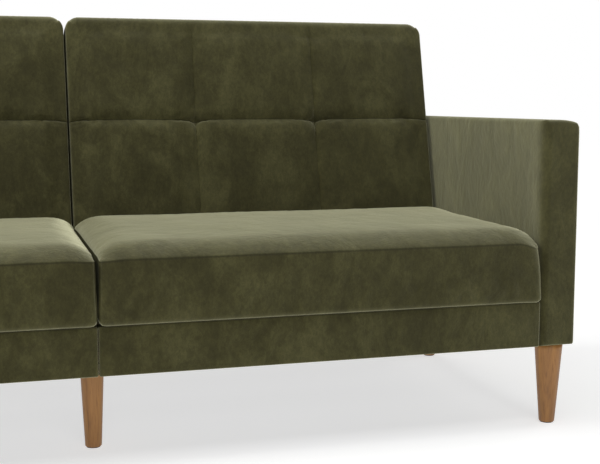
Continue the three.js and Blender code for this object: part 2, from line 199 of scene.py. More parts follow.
def bump(nodes, links, shader, *layers):
    """Layers of (height, distance in metres, strength), each bump feeding the next."""
    normal = None
    for height, distance, strength in layers:
        node = nodes.new("ShaderNodeBump")
        node.inputs["Distance"].default_value = distance
        node.inputs["Strength"].default_value = strength
        links.new(height, node.inputs["Height"])
        if normal is not None:
            links.new(normal, node.inputs["Normal"])
        normal = node.outputs["Normal"]
    links.new(normal, shader.inputs["Normal"])


# Stops of (position, linear colour) from the brushed-down pile to the lighter patches.
VELVET_TONES = [
    (0.38, (0.034, 0.0308, 0.0098)),
    (0.50, (0.045, 0.0414, 0.0140)),
    (0.62, (0.060, 0.0560, 0.0205)),
]
# The colour of the painted shade in the seam creases.
SEAM_SHADOW_TONE = (0.016, 0.015, 0.008)


def velvet_material(name, sheen):
    """Olive velvet: a dark pile with brushed lighter patches, and a sheen where it stands up."""
    material, nodes, links, shader = new_material(name)
    even = mapped(nodes, links)
    brushed = mapped(nodes, links, (1.0, 1.0, 0.62))
    patches = noise(nodes, links, brushed, 11.0, 5.0, 0.62, 0.5)
    mottle = noise(nodes, links, brushed, 52.0, 4.0, 0.62)
    pile = noise(nodes, links, even, 900.0, 2.0, 0.7)
    tone = ramp(nodes, links, patches, VELVET_TONES)
    tone = graded(nodes, links, tone, mottle, (0.40, 0.88), (0.60, 1.12))
    # Painted shade: the seam attribute darkens the base colour along the seam creases.
    seam = nodes.new("ShaderNodeAttribute")
    seam.attribute_name = "seam"
    tone = mix_colour(nodes, links, seam.outputs["Fac"], tone, SEAM_SHADOW_TONE)
    crush = noise(nodes, links, brushed, 190.0, 3.0, 0.65, 0.6)
    tone = graded(nodes, links, tone, crush, (0.40, 0.87), (0.60, 1.13))
    tone = graded(nodes, links, tone, pile, (0.3, 0.82), (0.7, 1.16))
    links.new(tone, shader.inputs["Base Color"])
    roughness = math_node(nodes, links, "MULTIPLY_ADD", patches, -0.12, 0.96)
    links.new(roughness, shader.inputs["Roughness"])
    shader.inputs["Specular IOR Level"].default_value = 0.02
    shader.inputs["Sheen Weight"].default_value = sheen
    shader.inputs["Sheen Roughness"].default_value = 0.5
    shader.inputs["Sheen Tint"].default_value = (0.80, 0.79, 0.54, 1.0)
    bump(nodes, links, shader, (patches, 0.0050, 0.7), (mottle, 0.0008, 0.7), (crush, 0.0002, 0.5),
         (pile, 0.0003, 0.6))
    return material


def wood_material(name, dark, light, grain=9.0, gloss=0.45, coat=0.0):
    """Straight-grained wood, with its grain along Z."""
    material, nodes, links, shader = new_material(name)
    along = mapped(nodes, links, (1.0, 1.0, 0.06))
    figure = noise(nodes, links, along, 60.0, 5.0, 0.6, 0.8)
    pores = noise(nodes, links, mapped(nodes, links, (1.0, 1.0, 0.02)), 520.0, 2.0, 0.6)
    broad = noise(nodes, links, along, grain, 2.0, 0.5)
    tone = ramp(nodes, links, figure, [(0.30, dark), (0.66, light)])
    shade = ramp(nodes, links, broad, [(0.3, (0.86, 0.85, 0.83)), (0.7, (1.08, 1.08, 1.08))])
    tone = mix_colour(nodes, links, 1.0, tone, shade, "MULTIPLY")
    flecks = ramp(nodes, links, pores, [(0.32, (0.72, 0.68, 0.62)), (0.46, (1.0, 1.0, 1.0))])
    links.new(mix_colour(nodes, links, 1.0, tone, flecks, "MULTIPLY"), shader.inputs["Base Color"])
    roughness = math_node(nodes, links, "MULTIPLY_ADD", figure, 0.18, gloss - 0.08)
    links.new(roughness, shader.inputs["Roughness"])
    shader.inputs["Coat Weight"].default_value = coat
    shader.inputs["Coat Roughness"].default_value = 0.35
    bump(nodes, links, shader, (pores, 0.0003, 0.35), (figure, 0.0004, 0.25))
    return material


def steel_material():
    """Bright zinc plate with faint spangle and handling marks."""
    material, nodes, links, shader = new_material("zinc_plate")
    even = mapped(nodes, links)
    spangle = nodes.new("ShaderNodeTexVoronoi")
    spangle.inputs["Scale"].default_value = 160.0
    links.new(even, spangle.inputs["Vector"])
    tone = ramp(nodes, links, spangle.outputs["Distance"],
                [(0.0, (0.42, 0.43, 0.45)), (0.8, (0.60, 0.61, 0.62))])
    links.new(tone, shader.inputs["Base Color"])
    shader.inputs["Metallic"].default_value = 1.0
    marks = noise(nodes, links, even, 70.0, 4.0, 0.6)
    roughness = math_node(nodes, links, "MULTIPLY_ADD", marks, 0.3, 0.22)
    links.new(roughness, shader.inputs["Roughness"])
    bump(nodes, links, shader, (marks, 0.0002, 0.3))
    return material


def cloth_material(name, dark, light):
    """Thin bonded cloth, a fine crossed weave with slight fading."""
    material, nodes, links, shader = new_material(name)
    even = mapped(nodes, links)
    weave = nodes.new("ShaderNodeTexWave")
    weave.inputs["Scale"].default_value = 220.0
    weave.inputs["Distortion"].default_value = 1.5
    links.new(even, weave.inputs["Vector"])
    fading = noise(nodes, links, even, 6.0, 3.0)
    tone = ramp(nodes, links, fading, [(0.3, dark), (0.7, light)])
    links.new(tone, shader.inputs["Base Color"])
    shader.inputs["Roughness"].default_value = 0.92
    shader.inputs["Sheen Weight"].default_value = 0.2
    bump(nodes, links, shader, (weave.outputs["Fac"], 0.0003, 0.5))
    return material


def nylon_material():
    """Black nylon with a fine moulded grain."""
    material, nodes, links, shader = new_material("nylon_glide")
    grain = noise(nodes, links, mapped(nodes, links), 700.0, 2.0)
    tone = ramp(nodes, links, grain, [(0.3, (0.018, 0.018, 0.017)), (0.7, (0.035, 0.034, 0.032))])
    links.new(tone, shader.inputs["Base Color"])
    shader.inputs["Roughness"].default_value = 0.55
    bump(nodes, links, shader, (grain, 0.0001, 0.4))
    return material


def floor_material():
    """The studio floor: a pale, matt light table, brighter away from the sofa bed."""
    material, nodes, links, shader = new_material("pale_floor")
    coordinates = nodes.new("ShaderNodeTexCoord")
    distance = nodes.new("ShaderNodeVectorMath")
    distance.operation = "LENGTH"
    links.new(coordinates.outputs["Object"], distance.inputs[0])
    grain = noise(nodes, links, coordinates.outputs["Object"], 3.0, 2.0)
    tone = ramp(nodes, links, grain, [(0.3, (0.64, 0.64, 0.64)), (0.7, (0.66, 0.66, 0.66))])
    links.new(tone, shader.inputs["Base Color"])
    shader.inputs["Roughness"].default_value = 0.9
    shader.inputs["Specular IOR Level"].default_value = 0.0
    shader.inputs["Emission Color"].default_value = (1, 1, 1, 1)
    glow = nodes.new("ShaderNodeMapRange")
    glow.inputs["From Min"].default_value = 1.2
    glow.inputs["From Max"].default_value = 6.0
    glow.inputs["To Min"].default_value = 0.62
    glow.inputs["To Max"].default_value = 1.0
    links.new(distance.outputs["Value"], glow.inputs["Value"])
    links.new(glow.outputs["Result"], shader.inputs["Emission Strength"])
    return material


VELVET = velvet_material("olive_velvet", 1.0)
# A copy of the velvet with almost no sheen: painted shade, put on faces in the gaps between pieces and under the
# seat cushions.
GAP_SHADE_VELVET = velvet_material("olive_velvet_gap_shade", 0.08)
LEG_WOOD = wood_material("oiled_beech", (0.245, 0.101, 0.020), (0.430, 0.197, 0.044), coat=0.15)
TIMBER = wood_material("timber", (0.50, 0.36, 0.20), (0.66, 0.50, 0.31), gloss=0.65)
PLYWOOD = wood_material("plywood", (0.42, 0.29, 0.16), (0.58, 0.43, 0.26), gloss=0.65)
STEEL = steel_material()
DUST_CLOTH = cloth_material("dust_cloth", (0.010, 0.010, 0.010), (0.022, 0.022, 0.022))
NYLON = nylon_material()


# ---------------------------------------------------------------------------------------
# Slabs: closed forms on a lattice of quads
# ---------------------------------------------------------------------------------------

def lattice_lines(half, reaches, step, extra=()):
    """Lattice lines from -half to half, close-set at both ends, so that a rolled edge is a curve."""
    ends = []
    for sign, reach in zip((-1, 1), reaches):
        steps = 4 if reach < 15 else 7
        turns = np.linspace(0, math.pi / 2, steps + 1)
        ends.append(sign * (half - reach * (1 - np.cos(turns))))
    low, high = ends[0][-1], ends[1][-1]
    inner = np.linspace(low, high, max(1, math.ceil((high - low) / step)) + 1)
    lines = np.unique(np.round(np.concatenate([*ends, inner, np.array(extra, float)]), 3))
    keep = np.concatenate([[True], np.diff(lines) > 0.5])
    keep[-1] = True
    return lines[keep]


def surface_of(us, vs, ws):
    """The outer skin of a box lattice: (points as rows of line indices, quads)."""
    shape = (len(us), len(vs), len(ws))
    skin = np.zeros(shape, bool)
    for axis in range(3):
        ends = [slice(None)] * 3
        for end in (0, -1):
            ends[axis] = end
            skin[tuple(ends)] = True
    numbers = np.full(shape, -1)
    numbers[skin] = np.arange(skin.sum())
    quads = []
    for axis in range(3):
        for end in (0, -1):
            sheet = np.take(numbers, end, axis=axis)
            a, b, c, d = sheet[:-1, :-1], sheet[1:, :-1], sheet[1:, 1:], sheet[:-1, 1:]
            quads.append(np.stack([a, b, c, d], -1).reshape(-1, 4))
    return np.argwhere(skin), np.concatenate(quads)


def roll(distance, reach, softness=0.5):
    """0 at an edge and 1 from reach inwards: a quarter circle, or flatter as softness grows."""
    inward = np.clip(distance / max(reach, 1e-6), 0, 1)
    return (1 - (1 - inward) ** 2) ** softness


def rim(reach, depth=None, softness=0.5):
    """A rolled edge: how far in it reaches, how deep it goes, mm, and how flat it is."""
    return reach, depth or reach, softness


def smooth(share):
    """0 to 1 with level ends."""
    share = np.clip(share, 0, 1)
    return share * share * (3 - 2 * share)


SEAM_LINES = (4.5, 2.0, 0.8)  # extra lattice lines this far below a sewn seam, mm


class Slab:
    """A slab seen face on: u across, v up, and w out of its face, in mm about its middle.

    corners are the outline's radii, by (sign of u, sign of v), as one number or (across, up).
    rims are the face's rolled edges at -u, +u, -v and +v.
    relief(u, v) lifts the face, and fullness swells the sides."""

    def __init__(self, half_u, half_v, depth, corners, rims, back_rim, step=8.0, extra_u=(),
                 extra_v=(), relief=None, fullness=0.0, seam_depth=0.0, low_corner=None):
        self.half_u, self.half_v, self.depth = half_u, half_v, depth
        self.corners, self.rims, self.back_rim = corners, rims, back_rim
        self.low_corner = low_corner
        self.relief, self.fullness, self.seam_depth = relief, fullness, seam_depth
        reaches = [max(edge[0], back_rim) for edge in rims]
        self.us = lattice_lines(half_u, reaches[:2], step, extra_u)
        self.vs = lattice_lines(half_v, reaches[2:], step, extra_v)
        low, high = back_rim, depth - max(edge[1] for edge in rims)
        sides = np.linspace(low, high, max(2, math.ceil((high - low) / step)) + 1)
        near_seam = [high - below for below in SEAM_LINES] if seam_depth else []
        self.ws = np.unique(np.round(np.concatenate([sides, near_seam]), 4))

    def plan(self, u, v, share):
        """Rounds the outline's corners: (u, v, outward direction)."""
        out_u, out_v = np.zeros_like(u), np.zeros_like(v)
        new_u, new_v = u.copy(), v.copy()
        for (su, sv), radius in self.corners.items():
            across, upwards = radius if isinstance(radius, tuple) else (radius, radius)
            if self.low_corner:
                across = upwards = self.low_corner + (radius - self.low_corner) * share ** 2
            du = (su * u - (self.half_u - across)) / across
            dv = (sv * v - (self.half_v - upwards)) / upwards
            inside = (su * u > 0) & (sv * v > 0) & (du > 0) & (dv > 0)
            length = np.maximum(np.hypot(du, dv), 1e-9)
            shrink = np.maximum(du, dv) / length
            new_u = np.where(inside, su * (self.half_u - across + du * shrink * across), new_u)
            new_v = np.where(inside, sv * (self.half_v - upwards + dv * shrink * upwards), new_v)
            out_u = np.where(inside, su * du / length, out_u)
            out_v = np.where(inside, sv * dv / length, out_v)
        flat = np.hypot(out_u, out_v) < 1e-6
        on_u = np.abs(np.abs(u) - self.half_u) < 1e-3
        on_v = np.abs(np.abs(v) - self.half_v) < 1e-3
        out_u = np.where(flat & on_u, np.sign(u), out_u)
        out_v = np.where(flat & on_v & ~on_u, np.sign(v), out_v)
        return new_u, new_v, out_u, out_v

    def build(self):
        """(points (n, 3) in mm, quads). flat keeps the points' places on the lattice, and
        on_face, on_rear and on_seam say which points those are."""
        index, quads = surface_of(self.us, self.vs, self.ws)
        u, v, w = self.us[index[:, 0]], self.vs[index[:, 1]], self.ws[index[:, 2]]
        low, high = self.ws[0], self.ws[-1]
        edges = [self.half_u + u, self.half_u - u, self.half_v + v, self.half_v - v]
        nearness = [1 / (edge + 1.0) ** 2 for edge in edges]
        fall = sum(near * edge[1] for near, edge in zip(nearness, self.rims)) / sum(nearness)
        face = np.ones_like(u)
        rear = np.ones_like(u)
        for edge, (reach, _, softness) in zip(edges, self.rims):
            face = face * roll(edge, reach, softness)
            rear = rear * roll(edge, self.back_rim)
        share = np.clip((w - low) / (high - low), 0, 1)
        new_u, new_v, out_u, out_v = self.plan(u, v, share)
        top, bottom = w >= high - 1e-6, w <= low + 1e-6
        lift = self.relief(u, v) if self.relief is not None else np.zeros_like(u)
        new_w = low + share * (self.depth - fall - low)
        new_w = np.where(top, self.depth - fall * (1 - face) + lift * face, new_w)
        new_w = np.where(bottom, low - self.back_rim * rear, new_w)
        on_face, on_rear = top & (face > 0), bottom & (rear > 0)
        side = ~on_face & ~on_rear
        seam = side & (np.abs(w - high) < 1e-3)
        swell = self.fullness * np.sin(math.pi * share) ** 0.7 - np.where(seam, self.seam_depth, 0)
        new_u = new_u + np.where(side, out_u * swell, 0)
        new_v = new_v + np.where(side, out_v * swell, 0)
        self.flat = (u, v, w)
        self.on_face, self.on_rear, self.on_seam = on_face, on_rear, seam
        return np.stack([new_u, new_v, new_w], 1), quads


def place(name, points, quads, matrix, seam=None, gap_shade=None):
    """A smooth-shaded velvet object from points in mm, moved by a matrix in metres.

    seam paints shade along the seam creases, and faces whose points are all marked by the last argument get a
    sheen-less copy of the velvet, painted shade for gaps and undersides."""
    turned = (points * MM) @ np.array(matrix.to_3x3()).T + np.array(matrix.translation)
    mesh = bpy.data.meshes.new(name)
    mesh.from_pydata(turned.tolist(), [], quads.tolist())
    mesh.validate()
    work = bmesh.new()
    work.from_mesh(mesh)
    bmesh.ops.recalc_face_normals(work, faces=work.faces)
    work.to_mesh(mesh)
    work.free()
    mesh.polygons.foreach_set("use_smooth", [True] * len(mesh.polygons))
    # The seam attribute carries the painted shade of the seam creases.
    strength = mesh.attributes.new("seam", "FLOAT", "POINT")
    if seam is not None:
        strength.data.foreach_set("value", seam.astype(np.float32))
    mesh.materials.append(VELVET)
    # Painted shade: faces in gaps and on undersides get the sheen-less velvet copy.
    if gap_shade is not None:
        mesh.materials.append(GAP_SHADE_VELVET)
        shaded_faces = [all(gap_shade[v] for v in face.vertices) for face in mesh.polygons]
        mesh.polygons.foreach_set("material_index", np.array(shaded_faces, np.int32))
    piece = bpy.data.objects.new(name, mesh)
    bpy.context.scene.collection.objects.link(piece)
    return piece


def axes(u, v, w, origin):
    """A matrix that takes a slab's u, v and w to the given directions."""
    turn = Matrix((Vector(u), Vector(v), Vector(w))).transposed().to_4x4()
    turn.translation = Vector(origin)
    return turn


def dress(piece, body, slot, *nodes, fill=None):
    """What every soft piece needs: its body, and the CAD nodes it stands for, which it hides. The slot is not
    used.
    """
    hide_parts(*nodes)
    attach(piece, body)


def ripple(seed, waves, amplitude, across, along):
    """A smooth random relief of the given wavelengths, mm, as a function of (u, v)."""
    random = np.random.default_rng(seed)
    lengths_u = random.uniform(*across, waves)
    lengths_v = random.uniform(*along, waves)
    signs = random.choice([-1, 1], waves)
    phases = random.uniform(0, 2 * math.pi, waves)
    sizes = random.uniform(0.4, 1.0, waves)
    sizes *= amplitude / np.sqrt((sizes ** 2).sum())

    def relief(u, v):
        total = np.zeros_like(u)
        for lu, lv, sign, phase, size in zip(lengths_u, lengths_v, signs, phases, sizes):
            total += size * np.sin(2 * math.pi * (u / lu + sign * v / lv) + phase)
        return total
    return relief


def inflate(piece, held, slack, pressure=4.0, frames=20):
    """Blows a piece up as cloth, its held points staying put, and keeps the shape it takes.

    held is one weight for each point, and no point moves further than slack, mm."""
    mesh = piece.data
    group = piece.vertex_groups.new(name="held")
    for weight in np.unique(held[held > 0]):
        group.add(np.flatnonzero(held == weight).tolist(), float(weight), "REPLACE")
    before = np.empty(len(mesh.vertices) * 3)
    mesh.vertices.foreach_get("co", before)
    modifier = piece.modifiers.new("cloth", "CLOTH")
    cloth = modifier.settings
    cloth.quality = 4
    cloth.mass = 0.4
    cloth.tension_stiffness = cloth.compression_stiffness = 12.0
    cloth.shear_stiffness = 5.0
    cloth.bending_stiffness = 0.8
    cloth.shrink_min = -0.012
    cloth.use_pressure = True
    cloth.uniform_pressure_force = pressure
    cloth.vertex_group_mass = "held"
    cloth.effector_weights.gravity = 0.0
    scene = bpy.context.scene
    for number in range(1, frames + 1):
        scene.frame_set(number)
    blown = piece.evaluated_get(bpy.context.evaluated_depsgraph_get()).to_mesh()
    after = np.empty(len(blown.vertices) * 3)
    blown.vertices.foreach_get("co", after)
    piece.modifiers.remove(modifier)
    piece.vertex_groups.remove(group)
    scene.frame_set(1)
    move = (after - before).reshape(-1, 3)
    length = np.maximum(np.linalg.norm(move, axis=1, keepdims=True), 1e-9)
    limit = slack * MM
    move *= limit * np.tanh(length / limit) / length
    mesh.vertices.foreach_set("co", before + move.ravel())
    mesh.update()


def keep_within(piece, low, high):
    """Flattens a piece where it presses against what is beyond a box."""
    mesh = piece.data
    places = np.empty(len(mesh.vertices) * 3)
    mesh.vertices.foreach_get("co", places)
    places = np.clip(places.reshape(-1, 3), np.array(low), np.array(high))
    mesh.vertices.foreach_set("co", places.ravel())
    mesh.update()


# ---------------------------------------------------------------------------------------
# Seat cushions
# ---------------------------------------------------------------------------------------

def seat_cushion(side_name, side):
    """A boxed seat cushion: upright sides, a seam round the top, and a rolled, crowned top."""
    node = f"{side_name}_seat_cushion"
    low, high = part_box(node)
    half_u, half_v = (high.x - low.x) / 2 / MM, (high.y - low.y) / 2 / MM
    seam_height = (high.z - low.z) / MM - SEAT_SEAM_DROP
    lumps = ripple(21 + side, 8, 0.5, (250, 600), (180, 400))

    def crown(u, v):
        dome = np.clip(1 - (u / half_u) ** 2, 0, 1) * np.clip(1 - (v / half_v) ** 2, 0, 1)
        rise = smooth((v + half_v) / (1.6 * half_v))
        return SEAT_CROWN * dome ** 0.8 + SEAT_RAMP * rise + lumps(u, v)

    radii = {su: SEAT_CORNER["arm" if su == side else "split"] for su in (-1, 1)}
    corners = {(su, sv): radii[su] for su in (-1, 1) for sv in (-1, 1)}
    edges = ("split", "arm", "front", "rear") if side > 0 else ("arm", "split", "front", "rear")
    rims = [rim(SEAT_ROLL[edge][0], SEAT_RISE, SEAT_ROLL[edge][1]) for edge in edges]
    slab = Slab(half_u, half_v, seam_height + SEAT_RISE, corners, rims, SEAT_BOTTOM_RIM, relief=crown,
                fullness=SEAT_FULLNESS, seam_depth=0.8, low_corner=SEAT_LOW_CORNER)
    points, quads = slab.build()
    # Painted shade in the crease just below the boxing seam.
    below_seam = slab.ws[-1] - slab.flat[2]
    seam = np.where(~slab.on_face & (below_seam < SEAT_SEAM_SHADE_WIDTH), PAINTED_SEAM_SHADE["boxing"], 0.0)
    middle = ((low.x + high.x) / 2, (low.y + high.y) / 2, low.z)
    turn = axes((1, 0, 0), (0, 1, 0), (0, 0, 1), middle)
    u, v, w = slab.flat
    inset = np.minimum(half_u - np.abs(u), half_v - np.abs(v))
    # Painted shade: the upright sides, in the gaps at the split and beside the arm, and the underside get the
    # sheen-less velvet.
    gap_shade = (np.abs(u) > half_u - 1) | (slab.on_rear & (inset > SEAT_UNDERSIDE_SHADE_INSET))
    for sign in (-1, 1):
        away = np.hypot(half_u - sign * u, half_v + v)
        drop = SEAT_DROP["arm" if sign == side else "split"] * smooth(1 - away / SEAT_DROP_REACH)
        points[:, 2] -= drop * w / slab.depth
    piece = place(f"{side_name}_seat_pad", points, quads, turn, seam, gap_shade)
    held = np.where(slab.on_rear | (v > half_v - 1), 1.0, 0.0)
    held = np.where(slab.on_seam, SEAT_SEAM_HELD, held)
    inflate(piece, held, SEAT_SLACK)
    touch, untouched = SEAT_TOUCH * MM, SEAT_UNTOUCHED * MM
    keep_within(piece, low - Vector((touch, untouched, 0)), high + Vector((touch, touch, untouched)))
    dress(piece, "base", "velvet", node, fill=0.85)


# ---------------------------------------------------------------------------------------
# Backs
# ---------------------------------------------------------------------------------------

RECLINE = {joint["name"]: joint for joint in frame["joints"]}
BACK_LEAN = math.radians(90.0 - RECLINE["right_back_recline"]["range_deg"][1])
BACK_UP = Vector((0, math.sin(BACK_LEAN), math.cos(BACK_LEAN)))
BACK_OUT = Vector((0, -math.cos(BACK_LEAN), math.sin(BACK_LEAN)))


def extent_along(node, direction, origin):
    """Lowest and highest distance of a node's points along a direction from a point, mm."""
    mesh = frame["nodes"][node].data
    distances = [(vertex.co - origin).dot(direction) / MM for vertex in mesh.vertices]
    return min(distances), max(distances)


def back_extents(side_name, node):
    """A piece of the back in the back's own directions: half width, (bottom, top), (rear, front)."""
    pin = Vector(RECLINE[f"{side_name}_back_recline"]["pos_m"])
    low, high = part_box(node)
    middle = Vector(((low.x + high.x) / 2, pin.y, pin.z))
    half_u = (high.x - low.x) / 2 / MM
    return middle, half_u, extent_along(node, BACK_UP, pin), extent_along(node, BACK_OUT, pin)


def tufted_relief(half_u, half_v, columns, seam_v, seed):
    """Columns of two shallow biscuits, pinched where their seams cross."""
    column_width = 2 * half_u / COLUMNS
    lumps = ripple(seed, 10, 0.6, (90, 260), (90, 260))
    (cross_depth, cross_reach), (column_depth, column_reach) = CROSS_SEAM, COLUMN_SEAM
    (gather_depth, gather_reach), (pinch_depth, pinch_width, pinch_height) = COLUMN_GATHER, PINCH

    def relief(u, v):
        off_seam = np.abs(v - seam_v)
        nearest = np.min([np.abs(u - c) for c in columns], axis=0)
        cross_seam = cross_depth * (1 - roll(off_seam, cross_reach) ** 0.8)
        gather = gather_depth * np.exp(-(off_seam / gather_reach) ** 1.2)
        column_seam = (column_depth + gather) * (1 - roll(nearest, column_reach) ** 0.8)
        pinch = pinch_depth * np.exp(-((nearest / pinch_width) ** 2 + (off_seam / pinch_height) ** 2))
        along = (u + half_u) / column_width % 1.0
        up = np.where(v > seam_v, (v - seam_v) / (half_v - seam_v), (seam_v - v) / (half_v + seam_v))
        biscuit = BISCUIT * (1 - (2 * along - 1) ** 2) * (1 - (2 * np.clip(up, 0, 1) - 1) ** 2)
        inset = np.minimum(half_u - np.abs(u), half_v - np.abs(v))
        return (biscuit + lumps(u, v) - column_seam) * smooth(inset / RELIEF_INSET) - cross_seam - pinch
    return relief


def arch_lift(u, v, half_u, seam_v):
    """How far the cross seam and what is near it rise between the pinches."""
    along = (u + half_u) / (2 * half_u / COLUMNS) % 1.0
    flat_topped = 1 - np.abs(2 * along - 1) ** 5
    return SEAM_ARCH * flat_topped * np.exp(-((v - seam_v) / 45.0) ** 2)


def back_cushion(side_name, side):
    """The tufted front of a half of the back: three columns and one cross seam."""
    node = f"{side_name}_back_cushion"
    middle, half_u, (bottom, top), (rear, front) = back_extents(side_name, node)
    half_v = (top - bottom) / 2
    seam_v = SEAM_HEIGHT - SEAM_ARCH - (top + bottom) / 2
    columns = [half_u * (2 * k / COLUMNS - 1) for k in range(1, COLUMNS)]
    fine = np.array([0.8, 2.0, 4.0, 7.0, 11.0])
    fine = np.concatenate([-fine, [0.0], fine])
    extra_u = np.concatenate([c + fine for c in columns])
    corners = {(su, 1): BACK_CORNER_TOP for su in (-1, 1)}
    corners |= {(su, -1): BACK_CORNER_BOTTOM for su in (-1, 1)}
    rims = [rim(*BACK_RIM[edge]) for edge in ("side", "side", "bottom", "top")]
    slab = Slab(half_u, half_v, front - rear, corners, rims, BACK_REAR_RIM, step=7.5,
                extra_u=extra_u, extra_v=seam_v + fine, fullness=1.0,
                relief=tufted_relief(half_u, half_v, columns, seam_v, 5 + side))
    points, quads = slab.build()
    u, v = slab.flat[:2]
    nearest = np.min([np.abs(u - c) for c in columns], axis=0)
    inside = slab.on_face & (np.abs(u) < half_u - 4) & (np.abs(v) < half_v - 6)
    on_cross = inside & (np.abs(v - seam_v) < 0.5)
    on_column = inside & (nearest < 0.5)
    # Painted shade along the creases of the cross and column seams.
    column_shade = np.where(on_column, PAINTED_SEAM_SHADE["column"], 0.0)
    seam = np.where(on_cross, PAINTED_SEAM_SHADE["cross"], column_shade)
    points[:, 1] += np.where(slab.on_face, arch_lift(u, v, half_u, seam_v), 0)
    origin = middle + BACK_UP * (bottom + top) / 2 * MM + BACK_OUT * rear * MM
    turn = axes((1, 0, 0), BACK_UP, BACK_OUT, origin)
    # Painted shade: the sides, in the gaps beside the other half and the arm, get the sheen-less velvet.
    gap_shade = np.abs(u) > half_u - 1.6
    piece = place(f"{side_name}_back_pad", points, quads, turn, seam, gap_shade)
    inset = np.minimum(half_u - np.abs(u), half_v - np.abs(v))
    firmness, reach = BACK_HELD
    held = np.where(slab.on_face, np.round(np.clip(1 - inset / reach, 0, 1) * firmness, 1), 1.0)
    held = np.where(on_cross | on_column, 1.0, held)
    inflate(piece, held, BACK_SLACK)
    dress(piece, f"{side_name}_back", "velvet", node, fill=0.8)


def back_rear_cover(side_name, side):
    """The thinly padded shell behind a half of the back."""
    node = f"{side_name}_back_rear_cover"
    middle, half_u, (bottom, top), (rear, front) = back_extents(side_name, node)
    half_v = (top - bottom) / 2
    lumps = ripple(31 + side, 10, 0.7, (150, 400), (150, 400))

    def slack(u, v):
        return SHELL_FULLNESS * (1 - (u / half_u) ** 2) * (1 - (v / half_v) ** 2) + lumps(u, v)

    corners = {(su, 1): BACK_CORNER_TOP for su in (-1, 1)}
    corners |= {(su, -1): SHELL_CORNER_BOTTOM for su in (-1, 1)}
    slab = Slab(half_u, half_v, front - rear, corners, [rim(SHELL_RIM)] * 4, SHELL_INNER_RIM,
                step=12.0, relief=slack, fullness=0.8, seam_depth=1.0)
    points, quads = slab.build()
    # Painted shade along the crease of the boxing seam.
    seam = np.where(slab.on_seam, PAINTED_SEAM_SHADE["boxing"], 0.0)
    origin = middle + BACK_UP * (bottom + top) / 2 * MM + BACK_OUT * front * MM
    turn = axes((-1, 0, 0), BACK_UP, -BACK_OUT, origin)
    # Painted shade: the sides, in the gaps beside the other half and the arm, get the sheen-less velvet.
    gap_shade = np.abs(slab.flat[0]) > half_u - 1
    piece = place(f"{side_name}_back_shell", points, quads, turn, seam, gap_shade)
    dress(piece, f"{side_name}_back", "velvet", node)


# ---------------------------------------------------------------------------------------
# Arms and rails
# ---------------------------------------------------------------------------------------

def arm_cover(side_name, side):
    """An upholstered arm, its top falling away to the outside."""
    node = f"{side_name}_arm_cover"
    low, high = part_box(node)
    half_u, half_v = (high.x - low.x) / 2 / MM, (high.z - low.z) / 2 / MM
    lumps = ripple(41 + side, 8, 0.3, (120, 300), (120, 300))
    corners = {(side, 1): ARM_CORNER["outer"], (-side, 1): ARM_CORNER["inner"]}
    corners |= {(su, -1): ARM_FOOT_CORNER for su in (side, -side)}
    edges = ("inner", "outer", "foot", "top") if side > 0 else ("outer", "inner", "foot", "top")
    rims = [rim(ARM_RIM[edge]) for edge in edges]
    slab = Slab(half_u, half_v, (high.y - low.y) / MM, corners, rims, ARM_REAR_RIM,
                step=12.0, extra_u=np.arange(6.0 - half_u, half_u, 6.0), relief=lumps)
    points, quads = slab.build()
    start, bottom = ARM_SHOULDER_START, ARM_SHOULDER_LOW
    outward = np.clip((side * points[:, 0] / half_u - start) / (1 - start), 0, 1)
    upward = np.clip((points[:, 1] / half_v - bottom) / (1 - bottom), 0, 1)
    points[:, 1] -= ARM_SHOULDER * outward ** 2 * upward
    middle = ((low.x + high.x) / 2, high.y, (low.z + high.z) / 2)
    piece = place(f"{side_name}_arm", points, quads, axes((1, 0, 0), (0, 0, 1), (0, -1, 0), middle))
    dress(piece, "base", "velvet", node)


def rail_cover(side_name, side, end, outward):
    """Velvet over a front or rear rail. outward is the sign of the Y direction that it faces."""
    node = f"{side_name}_{end}_rail_cover"
    low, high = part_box(node)
    half_u, half_v = (high.x - low.x) / 2 / MM, (high.z - low.z) / 2 / MM
    lumps = ripple(51 + side, 8, 0.4, (120, 300), (60, 200))
    corners = {(su, sv): RAIL_CORNER for su in (-1, 1) for sv in (-1, 1)}
    slab = Slab(half_u, half_v, (high.y - low.y) / MM, corners, [rim(RAIL_RIM)] * 4,
                RAIL_INNER_RIM, step=12.0, relief=lumps)
    points, quads = slab.build()
    inside = high.y if outward < 0 else low.y
    middle = ((low.x + high.x) / 2, inside, (low.z + high.z) / 2)
    turn = axes((-outward, 0, 0), (0, 0, 1), (0, outward, 0), middle)
    u, v = slab.flat[:2]
    # Painted shade: the top, under the cushions, and the ends get the sheen-less velvet.
    gap_shade = (v > half_v - 1) | (np.abs(u) > half_u - 1)
    piece = place(f"{side_name}_{end}_rail_sleeve", points, quads, turn, gap_shade=gap_shade)
    dress(piece, "base", "velvet", node)


# ---------------------------------------------------------------------------------------
# Legs
# ---------------------------------------------------------------------------------------

LEG_EASE = 0.0018             # the foot's rounded edge, metres
LEG_SIDES = 64


